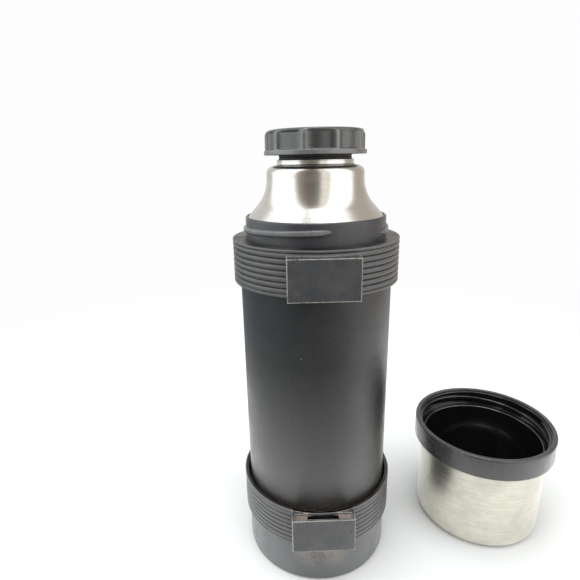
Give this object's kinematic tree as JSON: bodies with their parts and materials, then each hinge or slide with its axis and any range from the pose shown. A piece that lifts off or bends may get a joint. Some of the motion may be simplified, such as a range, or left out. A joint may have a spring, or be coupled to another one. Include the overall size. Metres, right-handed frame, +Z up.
{
  "type": "vacuum flask growler",
  "caption": "Wide steel vacuum growler with a lobed screw stopper, a threaded collar, ribbed bands with handle sockets, and its steel screw-on cup standing beside it.",
  "frame": {"origin": "centre of the flask's base, on the surface it stands on", "axes": "+Z up along the flask's axis, handle sockets face -Y, cup towards +X"},
  "size_m": [0.225, 0.1169, 0.2813],
  "materials": {
    "body_paint": "black hammertone powder coat",
    "bare_steel": "satin, brushed round",
    "plain_steel": "plain drawn",
    "cup_steel": "satin, brushed round, worn",
    "copper": "bare foil",
    "getter_alloy": "sintered",
    "seal_resin": "hardened bead",
    "base_plastic": "smooth moulded",
    "band_plastic": "moulded, scuffed",
    "collar_plastic": "moulded",
    "knob_plastic": "satin moulded",
    "plug_plastic": "moulded",
    "rim_plastic": "satin moulded",
    "liner_plastic": "gloss moulded",
    "foot_rubber": "plain",
    "silicone": "plain",
    "foam": "rigid foam"
  },
  "bodies": {
    "flask": {"outer_shell": "body_paint", "shoulder": "bare_steel", "outer_bottom": "plain_steel", "inner_bottle": "plain_steel", "inner_bottom": "plain_steel", "copper_foil": "copper", "getter": "getter_alloy", "vacuum_seal": "seal_resin", "base_cap": "base_plastic", "foot_pad": "foot_rubber", "lower_band": "band_plastic", "upper_band": "band_plastic", "threaded_collar": "collar_plastic", "collar_seal": "silicone"},
    "stopper_carrier": {"stopper_gasket": "silicone"},
    "stopper": {"stopper_knob": "knob_plastic", "stopper_plug": "plug_plastic", "plug_base_cap": "plug_plastic", "stopper_foam": "foam"},
    "cup": {"cup_shell": "cup_steel", "cup_liner": "liner_plastic", "cup_rim": "rim_plastic"}
  },
  "joints": [
    {"name": "stopper_rise", "type": "slide", "parent": "flask", "child": "stopper_carrier", "axis": [0, 0, 1], "range_m": [0, 0.0401]},
    {"name": "stopper_turn", "type": "hinge", "parent": "stopper_carrier", "child": "stopper", "pos_m": [0, 0, 0.2675], "axis": [0, 0, 1], "range_deg": [0, 1440]},
    {"name": "cup_lift", "type": "slide", "parent": "flask", "child": "cup", "axis": [0, 0, 1], "range_m": [0, 0.3]}
  ],
  "couplings": [
    {"joint": "stopper_rise", "follows": "stopper_turn", "m_per_rad": 0.0015915}
  ]
}
